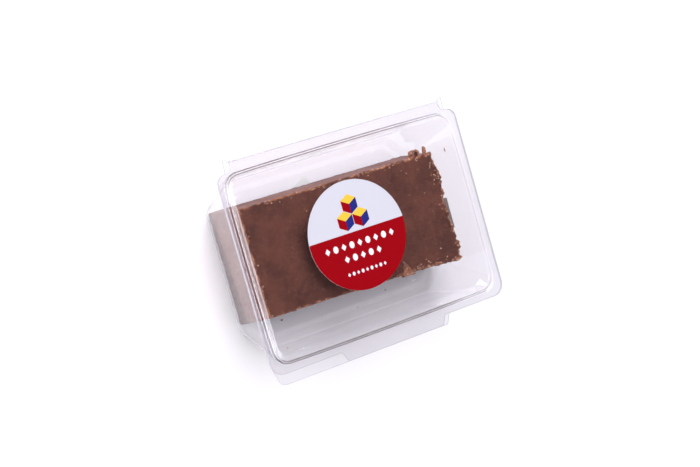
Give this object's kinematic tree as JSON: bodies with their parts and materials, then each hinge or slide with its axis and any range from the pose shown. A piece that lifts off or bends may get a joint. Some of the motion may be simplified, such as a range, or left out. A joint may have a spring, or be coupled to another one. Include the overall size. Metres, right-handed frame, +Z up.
{
  "type": "chocolate fudge in a clear hinged pack",
  "caption": "Slab of milk chocolate fudge lying in a clear hinged clamshell pack with a round label on its lid.",
  "frame": {"origin": "centre of the footprint, on the surface that the pack stands on", "axes": "+X along the long side, to the right as the label is read; +Y from the tabs at the front to the hinge at the back; +Z up through the lid"},
  "size_m": [0.127, 0.102, 0.0402],
  "materials": {
    "clear_plastic": "clear, glossy thermoformed film",
    "chocolate_fudge": "dull, with crumbled lighter edges",
    "printed_label": "smooth coated paper, a pale field over a red one",
    "plain_label": "matt uncoated paper"
  },
  "bodies": {
    "tub": {"tub": "clear_plastic", "fudge": "chocolate_fudge", "base_label": "plain_label", "end_label": "plain_label"},
    "lid": {"lid": "clear_plastic", "lid_label": "printed_label"}
  },
  "joints": [
    {"name": "lid_hinge", "type": "hinge", "parent": "tub", "child": "lid", "pos_m": [0, 0.04935, 0.03955], "axis": [-1, 0, 0], "range_deg": [0, 180]}
  ]
}
